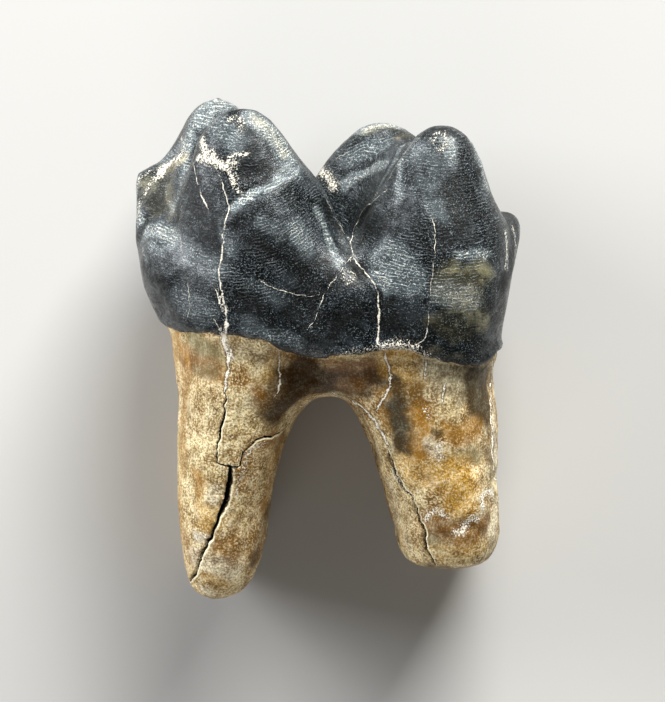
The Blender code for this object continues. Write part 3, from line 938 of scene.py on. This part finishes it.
def shaken(points, size, amount):
    """The points moved about by noise, so that a brush laid on them gets a ragged edge."""
    return points + amount * np.array([noise.noise_vector(Vector(p)) for p in points / size])


ragged = shaken(shaken(points, 1.1, 0.3), 0.35, 0.12)
crumbly = shaken(points, 0.3, 0.07)

# %% Painting
patch = swells(points, 5.0, 2)
streak = swells(points * np.array([1, 0.35, 1]) + 50, 1.8, 2)
stain = np.array([linear(STAIN_COLOURS["olive"][0])[:3]] * len(points))
grain = np.full(len(points), STAIN_COLOURS["olive"][1])
drifts = [
    # colour, how much of the root it takes before the stains are laid on
    ("tan", np.ones(len(points))),
    ("cream", eased(patch, 0.0, 0.3)),
    ("umber", 0.85 * eased(-patch, 0.18, 0.42)),
    ("amber", 0.7 * eased(streak, 0.22, 0.45)),
    ("ash", 0.6 * eased(-streak, 0.25, 0.5)),
]


def lay_on(name, share):
    """Mixes a stain into the paint where the share is above zero."""
    colour, coarse = STAIN_COLOURS[name]
    stain[:] += share[:, None] * (np.array(linear(colour)[:3]) - stain)
    grain[:] += share * (coarse - grain)


for name, share in drifts:
    lay_on(name, share * is_root)
stained = np.zeros(len(points))
for name, reach, strength, corners in STAINS:
    share = strength * brush(ragged, corners, reach)
    lay_on(name, share)
    stained = np.maximum(stained, share)
stained *= eased(edge_height, 0.2, 0.9)
crust_and_glint = np.zeros(len(points))
for reach, strength, corners in CRUSTS_AND_GLINTS:
    distance = measured_from(crumbly, drawn("tongue", corners, 1.0), reach)[0]
    crust_and_glint = np.maximum(crust_and_glint, strength * (1 - distance / reach))
# pale: weathered enamel and painted highlight; dark: blackest enamel and painted shade
pale_and_highlight, dark_and_shade = np.zeros((2, len(points)))
for shade, rows in ((pale_and_highlight, PALE_AND_HIGHLIGHT_STROKES), (dark_and_shade, DARK_AND_SHADE_STROKES)):
    for reach, strength, corners in rows:
        shade[:] = np.maximum(shade, strength * brush(ragged, corners, reach))
print("strokes of paint:", len(STAINS + CRUSTS_AND_GLINTS + PALE_AND_HIGHLIGHT_STROKES + DARK_AND_SHADE_STROKES))

# %% Growth lines and the attributes
FRONT_CUSP = (-5.4, 0.1)  # its place along the tooth in mm, and how much the lines sag there
BACK_CUSP = (6.9, 0.045)
VALLEY_ROUND = 0.6  # mm, how softly the sag of one cusp passes into the other's


def growth(points):
    """Counts up from the roots to the cusps, and sags in the middle of each cusp."""
    x, y, z = upright(points).T
    front, back = (sag * (x - middle) ** 2 for middle, sag in (FRONT_CUSP, BACK_CUSP))
    front = front * np.where(x < FRONT_CUSP[0], 0.3, 1)
    both = np.exp(-front / VALLEY_ROUND) + np.exp(-back / VALLEY_ROUND)
    aside = -VALLEY_ROUND * np.log(both)
    far_slope = eased(-z, 0, 2.5) * eased(x, 0, 2) * (1 - eased(x, 5, 7))
    return y - aside * eased(y, -1, 9) - 0.6 * far_slope * x


vein_and_glint, vein_and_glint_near = nearest_line(points, veins_and_glints)
readings = {
    "growth": growth(points),
    "grain": grain,
    "stained": stained,
    "crust_and_glint": crust_and_glint,
    "pale_and_highlight": pale_and_highlight,
    "dark_and_shade": dark_and_shade,
    "vein_and_glint": vein_and_glint,
    "vein_and_glint_near": vein_and_glint_near,
    "crack": crack,
    "crack_near": crack_near,
}
for name, values in readings.items():
    attribute = skin.attributes.new(name, "FLOAT", "POINT")
    attribute.data.foreach_set("value", values.astype(np.float32))
paint = skin.attributes.new("stain", "FLOAT_COLOR", "POINT")
opaque = np.column_stack([stain, np.ones(len(points))])
paint.data.foreach_set("color", opaque.astype(np.float32).ravel())
print("attributes:", len(skin.attributes))

# %% [markdown]
# ## Layers for both materials
#
# White mineral, mostly calcite, filled the cracks of enamel and root alike, so both materials
# get this layer from one function. Veins are threads whose width is broken up by noise, and
# crusts are heaps of crumbs. A few of them are painted highlights in white: rings of light on
# the cusp tips and at the valley's mouth, streaks on the back edge, and lines along crests. A
# second function lays coats of paint over each other.

# %% Layers
CRUMB_SIZE = 0.11  # mm
SWELLING_SIZE = 0.5  # mm, between the places where a vein is wide


def mineral(material, spot):
    """How much white covers each place, from 0 to 1: mineral, and on a few crusts and crest
    lines painted highlight.
    """
    vein_and_glint, near, crust_and_glint = (
        add(material, "Attribute", attribute_name=name).outputs["Fac"]
        for name in ("vein_and_glint", "vein_and_glint_near", "crust_and_glint")
    )
    crumbs, swollen = (
        add(material, "TexNoise", {"Vector": spot, "Scale": 1 / (size * MM), **settings})
        for size, settings in (
            (CRUMB_SIZE, {"Detail": 3.0, "Roughness": 0.65}),
            (SWELLING_SIZE, {"Detail": 2.0}),
        )
    )
    gap = add(material, "Math", [vein_and_glint], operation="ABSOLUTE")
    gap = add(material, "Math", [crumbs, 5.0, gap], operation="MULTIPLY_ADD")
    gap = add(material, "Math", [swollen, 4.5, gap], operation="MULTIPLY_ADD")
    thread = add(material, "MapRange", [gap, 5.3, 5.9, 1.0, 0.0])
    close = add(material, "MapRange", [near, 0.55, 0.7])
    thread = add(material, "Math", [thread, close], operation="MULTIPLY")
    heaped = add(material, "Math", [crumbs, 4.5, crust_and_glint], operation="MULTIPLY_ADD")
    heap = add(material, "MapRange", [heaped, 2.72, 2.95])
    laid = add(material, "MapRange", [crust_and_glint, 0.02, 0.1])
    heap = add(material, "Math", [heap, laid], operation="MULTIPLY")
    return add(material, "Math", [thread, heap], operation="MAXIMUM")


def coated(material, colour, coats):
    """Lays coats over the colour, each where the product of its shares is high."""
    for paint, (share, *others) in coats:
        for other in others:
            share = add(material, "Math", [share, other], operation="MULTIPLY")
        colour = add(material, "Mix", [share, colour, paint], data_type="RGBA")
    return colour


# %% [markdown]
# ## Fossil enamel
#
# Enamel is the hardest stuff in the body: apatite, glassy and slightly see-through when fresh.
# Here manganese and iron have turned it blue-black, and it keeps a soft gloss. Its growth
# lines, a fifth of a millimetre apart, are tiny steps, so they break each highlight into fine
# dashes. The dashes are noise stretched along the lines, in bump and in a light colour that
# paints their glints. They could be modelled, but hundreds of rings of real steps would need
# millions of faces, so they are bump and colour.

# %% Material: fossil enamel
LINE_SPACING = 0.2  # mm, as are all sizes below
DASH_LENGTH = 0.36
DASH_WIDTH = 0.6 * LINE_SPACING
ENAMEL_NOISES = [
    # size of the patches, detail, roughness
    (0.8, 4.0, 0.5),  # wobble: bends the growth lines
    (2.0, 6.0, 0.68),  # patches: blue-black and slate
    (0.4, 5.0, 0.7),  # mottle: the same, within the patches
    (0.09, 2.0, 0.7),  # speckle: single flecks
    (1.2, 4.0, 0.5),  # drift: where the lines are worn away
]
ENAMEL_BUMP = 0.031

enamel = new_material("fossil_enamel")
spot = add(enamel, "TexCoord").outputs["Object"]
layer, pale_and_highlight_share, dark_and_shade_share, stain_share = (
    add(enamel, "Attribute", attribute_name=name).outputs["Fac"]
    for name in ("growth", "pale_and_highlight", "dark_and_shade", "stained")
)
stain_colour = add(enamel, "Attribute", attribute_name="stain").outputs["Color"]
wobble, patches, mottle, speckle, drift = (
    add(
        enamel,
        "TexNoise",
        {"Vector": spot, "Scale": 1 / (size * MM), "Detail": detail, "Roughness": roughness},
    )
    for size, detail, roughness in ENAMEL_NOISES
)

# The growth lines: the layer count sets where each line lies, and a soft wobble bends it.
bent = add(enamel, "Math", [wobble, 0.4, layer], operation="MULTIPLY_ADD")
turn = add(enamel, "Math", [bent, 2 * math.pi / LINE_SPACING], operation="MULTIPLY")
wave = add(enamel, "Math", [turn], operation="SINE")
ripple = add(enamel, "MapRange", [wave, 0.1, 1.0], interpolation_type="SMOOTHSTEP")

# The dashes: noise in a space that is stretched along the lines.
apart = add(enamel, "SeparateXYZ", [spot])
across, upward, deep = (
    add(enamel, "Math", [distance, 1 / size], operation="MULTIPLY")
    for distance, size in (
        (apart.outputs["X"], DASH_LENGTH * MM),
        (bent, DASH_WIDTH),
        (apart.outputs["Z"], DASH_LENGTH * MM),
    )
)
laid = add(enamel, "CombineXYZ", [across, upward, deep])
broken = add(enamel, "TexNoise", {"Vector": laid, "Scale": 1.0, "Detail": 4.0, "Roughness": 0.7})
broken = add(enamel, "MapRange", [broken, 0.46, 0.6])
dashes = add(enamel, "Math", [ripple, broken], operation="MULTIPLY")

# The ground: blue-black, mottled with slate, and blacker under the painted shade.
tone = add(enamel, "Math", [mottle, 0.7, patches], operation="MULTIPLY_ADD")
tone = add(enamel, "MapRange", [tone, 0.8, 1.0])
tone = add(enamel, "Math", [dark_and_shade_share, -0.8, tone], operation="MULTIPLY_ADD", use_clamp=True)
ground = add(enamel, "Mix", [tone, linear("#020303"), linear("#1d2428")], data_type="RGBA")
haze_and_sheen = add(enamel, "MapRange", [mottle, 0.36, 0.6, 0.35, 1.0])
blotched = add(enamel, "MapRange", [tone, 0.0, 1.0, 0.15, 0.9])

# Dashes and flecks over the ground, greyish blue on the dark and cream on the weathered and
# highlighted parts; the dashes are painted glints. The lines are plain to see on the cusps and
# grow faint towards the roots.
line_colours = [pale_and_highlight_share, linear("#a0afb5"), linear("#efede0")]
line_colour = add(enamel, "Mix", line_colours, data_type="RGBA")
high = add(enamel, "MapRange", [layer, 2.5, 6.5, 0.2, 1.0])
strength = add(enamel, "MapRange", [drift, 0.44, 0.62, 0.01, 0.36])
strength = add(enamel, "Math", [strength, high], operation="MULTIPLY")
strength = add(enamel, "Math", [pale_and_highlight_share, 0.6, strength], operation="MULTIPLY_ADD")
less_dark = [dark_and_shade_share, -0.25, strength]
strength = add(enamel, "Math", less_dark, operation="MULTIPLY_ADD", use_clamp=True)
amount = add(enamel, "Math", [dashes, strength], operation="MULTIPLY")
dust = add(enamel, "MapRange", [drift, 0.6, 0.42, 0.06, 0.42])
dust = add(enamel, "Math", [strength, dust], operation="ADD")
fleck = add(enamel, "MapRange", [speckle, 0.57, 0.66])
fleck = add(enamel, "Math", [fleck, dust], operation="MULTIPLY")
amount = add(enamel, "Math", [amount, fleck], use_clamp=True)
white = mineral(enamel, spot)
enamel_coats = [
    # a colour, and the shares whose product says where it lies
    # painted sheen: a slate tint over the pale and highlighted enamel
    (linear("#626f75"), [pale_and_highlight_share, haze_and_sheen, 0.85]),
    (stain_colour, [stain_share, blotched]),
    # painted glints: the dashes of the growth lines in a light colour
    (line_colour, [amount]),
    (linear("#e6e0d0"), [white]),
]
colour = coated(enamel, ground, enamel_coats)

# The gloss: dull where it is dark and on the mineral, and brighter on the slate than the black.
gloss = add(enamel, "MapRange", [mottle, 0.38, 0.62, 0.34, 0.15])
for share, duller in ((dark_and_shade_share, 0.25), (white, 0.4)):
    gloss = add(enamel, "Math", [share, duller, gloss], operation="MULTIPLY_ADD")
shine = add(enamel, "MapRange", [tone, 0.0, 0.8, 0.22, 0.6])
steps = add(enamel, "MapRange", [drift, 0.42, 0.6, 0.3, 1.1])
for share in (high, dashes):
    steps = add(enamel, "Math", [steps, share], operation="MULTIPLY")
height = add(enamel, "Math", [speckle, steps], operation="ADD")
for share, rise in ((mottle, 1.2), (white, 1.5)):
    height = add(enamel, "Math", [share, rise, height], operation="MULTIPLY_ADD")
bump = add(enamel, "Bump", {"Height": height, "Distance": ENAMEL_BUMP * MM})
enamel_finish = {
    "Base Color": colour,
    "Roughness": gloss,
    "Specular IOR Level": shine,
    "Normal": bump,
    "IOR": 1.5,
}
connect(enamel, enamel.node_tree.nodes["Principled BSDF"], enamel_finish)
print("nodes in the enamel:", len(enamel.node_tree.nodes))

# %% [markdown]
# ## Fossil dentine
#
# The roots are dentine under a thin coat of cement, both porous, so they took up the colours of
# the ground: tan, cream, honey, iron brown and black. The surface is a crust of pale grains a
# third of a millimetre wide, with finer sand on them and darker matter between them, over
# fibres that run the length of the root. Lit and dim copies of the stain put painted light on
# the ridges and painted shade in the pits. Being porous, it has hardly any sheen.

# %% Material: fossil dentine
DENTINE_NOISES = [
    # size of the patches in mm, detail, roughness, distortion
    (0.34, 3.0, 0.65, 0.8),  # grains
    (0.9, 4.0, 0.5, 0.0),  # clouds
    (0.13, 2.0, 0.7, 0.0),  # sand
]
FIBRE_WIDTH = 0.12
FIBRE_LENGTH = 1.6
DENTINE_BUMP = 0.09

dentine = new_material("fossil_dentine")
spot = add(dentine, "TexCoord").outputs["Object"]
colour = add(dentine, "Attribute", attribute_name="stain").outputs["Color"]
coarse, crack_side, crack_close, vein_side, vein_close = (
    add(dentine, "Attribute", attribute_name=name).outputs["Fac"]
    for name in ("grain", "crack", "crack_near", "vein_and_glint", "vein_and_glint_near")
)
grains, clouds, sand = (
    add(
        dentine,
        "TexNoise",
        {
            "Vector": spot,
            "Scale": 1 / (size * MM),
            "Detail": detail,
            "Roughness": roughness,
            "Distortion": distortion,
        },
    )
    for size, detail, roughness, distortion in DENTINE_NOISES
)
per_metre = [1 / (size * MM) for size in (FIBRE_WIDTH, FIBRE_LENGTH, FIBRE_WIDTH)]
stretch = add(dentine, "VectorMath", [spot, per_metre], operation="MULTIPLY")
fibres = add(dentine, "TexNoise", {"Vector": stretch, "Scale": 1.0, "Detail": 2.0})

# Lit and dim copies of each stain, as painted light and painted shade: lit on the ridges of
# the grains and the sand and on crusted parts, dim in their pits and on bare parts.
lit = add(dentine, "Mix", [0.85, colour, linear("#fff3cc")], data_type="RGBA")
dim = add(dentine, "Mix", [0.85, colour, linear("#5c3907")], data_type="RGBA")
crusted = add(dentine, "MapRange", [clouds, 0.42, 0.58])
bare = add(dentine, "MapRange", [clouds, 0.56, 0.4, 0.05, 1.0])
ridge = add(dentine, "MapRange", [grains, 0.51, 0.58, 0.0, 0.9])
pit = add(dentine, "MapRange", [grains, 0.49, 0.4])
sand_ridge = add(dentine, "MapRange", [sand, 0.53, 0.59])
sand_pit = add(dentine, "MapRange", [sand, 0.5, 0.4, 0.0, 0.8])
between_fibres = add(dentine, "MapRange", [fibres, 0.35, 0.6, 0.3, 0.0])
smudge = add(dentine, "MapRange", [clouds, 0.4, 0.62, 0.25, 0.0])

# A crack is painted nearly black inside, as painted shade, with a pale lip of painted highlight
# along one side. Veins have a brown margin of painted shade.
near_crack = add(dentine, "MapRange", [crack_close, 0.3, 0.5])
lip_from = add(dentine, "MapRange", [crack_side, 1.0, 1.2])
lip_to = add(dentine, "MapRange", [crack_side, 1.8, 2.8, 1.0, 0.0])
patchy = add(dentine, "MapRange", [clouds, 0.32, 0.46])
gap = add(dentine, "Math", [crack_side], operation="ABSOLUTE")
gap = add(dentine, "Math", [sand, 1.4, gap], operation="MULTIPLY_ADD")
gap = add(dentine, "MapRange", [gap, 1.55, 1.85, 1.0, 0.0])
beside = add(dentine, "Math", [vein_side], operation="ABSOLUTE")
beside = add(dentine, "MapRange", [beside, 3.0, 1.4, 0.0, 0.6])
near_vein = add(dentine, "MapRange", [vein_close, 0.45, 0.6])
white = mineral(dentine, spot)
dentine_coats = [
    # painted light and painted shade: the lit and dim copies of the stain
    (lit, [crusted, 0.35, coarse]),
    (dim, [bare, 0.4, coarse]),
    (lit, [ridge, coarse, crusted]),
    (dim, [pit, coarse, bare]),
    (lit, [sand_ridge, coarse]),
    (dim, [sand_pit, coarse]),
    (linear("#4a3413"), [between_fibres]),
    (linear("#5c401a"), [smudge]),
    # painted highlight: a pale lip along one side of each crack
    (linear("#f6ebc8"), [lip_from, lip_to, near_crack, patchy]),
    # painted shade: a brown margin along each vein
    (linear("#4a3413"), [beside, near_vein]),
    (linear("#fff8e6"), [white]),
    # painted shade: nearly black inside the cracks
    (linear("#0d0906"), [gap, near_crack]),
]
colour = coated(dentine, colour, dentine_coats)

gloss = add(dentine, "MapRange", [coarse, 0.2, 1.0, 0.38, 0.5])
height = add(dentine, "Math", [sand, 0.5, grains], operation="MULTIPLY_ADD")
height = add(dentine, "Math", [height, coarse], operation="MULTIPLY")
for share, rise in ((fibres, 0.35), (white, 0.4)):
    height = add(dentine, "Math", [share, rise, height], operation="MULTIPLY_ADD")
bump = add(dentine, "Bump", {"Height": height, "Distance": DENTINE_BUMP * MM})
dentine_finish = {
    "Base Color": colour,
    "Roughness": gloss,
    "Normal": bump,
    "IOR": 1.55,
    "Specular IOR Level": 0.15,
}
connect(dentine, dentine.node_tree.nodes["Principled BSDF"], dentine_finish)
print("nodes in the dentine:", len(dentine.node_tree.nodes))

# %% [markdown]
# ## Two finishes on one skin
#
# On the real tooth the enamel ends in a sharp edge. The materials could be blended by a mask,
# but each face here gets one of the two, by the mean height of its corners over the edge. The
# faces are so small there that the line looks smooth.

# %% Enamel above its edge, dentine below
skin.materials.append(enamel)
skin.materials.append(dentine)
ends = np.empty(len(skin.loops), np.int32)
skin.loops.foreach_get("vertex_index", ends)
starts = np.empty(len(skin.polygons), np.int32)
skin.polygons.foreach_get("loop_start", starts)
face_height = np.add.reduceat(edge_height[ends], starts)
slots = np.where(face_height > 0, 0, 1)
skin.polygons.foreach_set("material_index", slots.astype(np.int32))
skin.shade_smooth()
skin.update()
print("enamel faces:", int((slots == 0).sum()), "dentine faces:", int((slots == 1).sum()))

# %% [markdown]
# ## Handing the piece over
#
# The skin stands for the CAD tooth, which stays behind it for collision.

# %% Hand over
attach(tooth, "root")
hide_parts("tooth")
